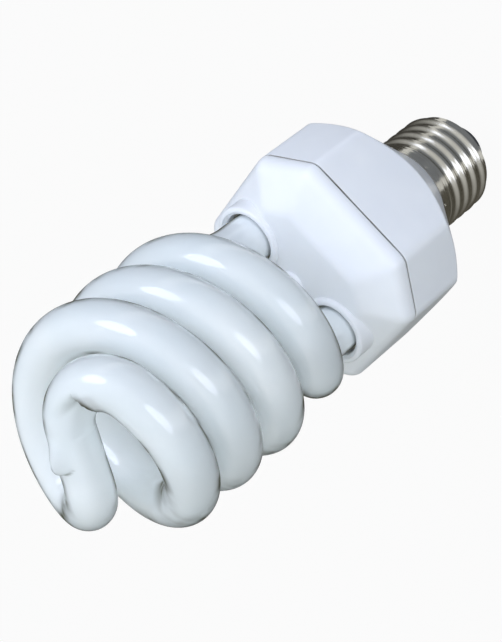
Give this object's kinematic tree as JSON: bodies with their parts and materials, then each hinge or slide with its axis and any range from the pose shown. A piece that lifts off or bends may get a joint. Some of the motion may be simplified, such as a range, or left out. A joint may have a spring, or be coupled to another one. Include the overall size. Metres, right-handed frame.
{
  "type": "compact fluorescent bulb",
  "caption": "Compact fluorescent bulb: a white double-spiral glass tube on an octagonal plastic ballast housing with a threaded metal screw cap, its ballast circuit modelled inside.",
  "frame": {"origin": "middle of the centre contact's flat end, which meets the lamp holder's contact", "axes": "+Z along the lamp from the screw cap to the tip of the spiral; the two legs of the tube stand on the X axis"},
  "size_m": [0.0558, 0.0558, 0.1503],
  "materials": {
    "opal_glass": "glossy clear glass over a white phosphor coat",
    "white_plastic": "moulded, glossy, faintly cool white",
    "nickel_plate": "bright nickel plate over rolled sheet",
    "contact_metal": "bright nickel plate",
    "solder": "dull tin solder",
    "black_glass": "black pressed glass",
    "cement": "set cement",
    "board": "paper laminate",
    "tinned_wire": "tinned",
    "insulated_wire": "sleeved wire",
    "ferrite": "sintered, dark grey",
    "enamelled_copper": "enamelled copper",
    "bobbin_plastic": "moulded",
    "capacitor_sleeve": "shrunk sleeve",
    "capacitor_dip": "dipped resin",
    "moulded_package": "moulded resin",
    "resistor_coat": "baked lacquer"
  },
  "bodies": {
    "root": {"discharge_tube": "opal_glass", "tube_cover": "white_plastic", "ballast_housing": "white_plastic", "cap_shell": "nickel_plate", "centre_contact": "contact_metal", "contact_solder": "solder", "cap_insulator": "black_glass", "leg_cement_left": "cement", "leg_cement_right": "cement", "circuit_board": "board", "filament_lead_1": "tinned_wire", "filament_lead_2": "tinned_wire", "filament_lead_3": "tinned_wire", "filament_lead_4": "tinned_wire", "wrap_post_1": "tinned_wire", "wrap_post_2": "tinned_wire", "wrap_post_3": "tinned_wire", "wrap_post_4": "tinned_wire", "contact_lead": "insulated_wire", "shell_lead": "insulated_wire", "choke_core": "ferrite", "drive_core": "ferrite", "filter_inductor_core": "ferrite", "choke_winding": "enamelled_copper", "filter_inductor_winding": "enamelled_copper", "drive_winding_1": "enamelled_copper", "drive_winding_2": "enamelled_copper", "drive_winding_3": "enamelled_copper", "choke_bobbin": "bobbin_plastic", "smoothing_capacitor": "capacitor_sleeve", "resonant_capacitor": "capacitor_dip", "blocking_capacitor": "capacitor_dip", "starting_capacitor": "capacitor_dip", "transistor_1": "moulded_package", "transistor_2": "moulded_package", "rectifier_diode_1": "moulded_package", "rectifier_diode_2": "moulded_package", "rectifier_diode_3": "moulded_package", "rectifier_diode_4": "moulded_package", "trigger_diode": "moulded_package", "resistor_1": "resistor_coat", "resistor_2": "resistor_coat", "resistor_3": "resistor_coat", "resistor_4": "resistor_coat", "fuse_resistor": "resistor_coat"}
  },
  "joints": []
}
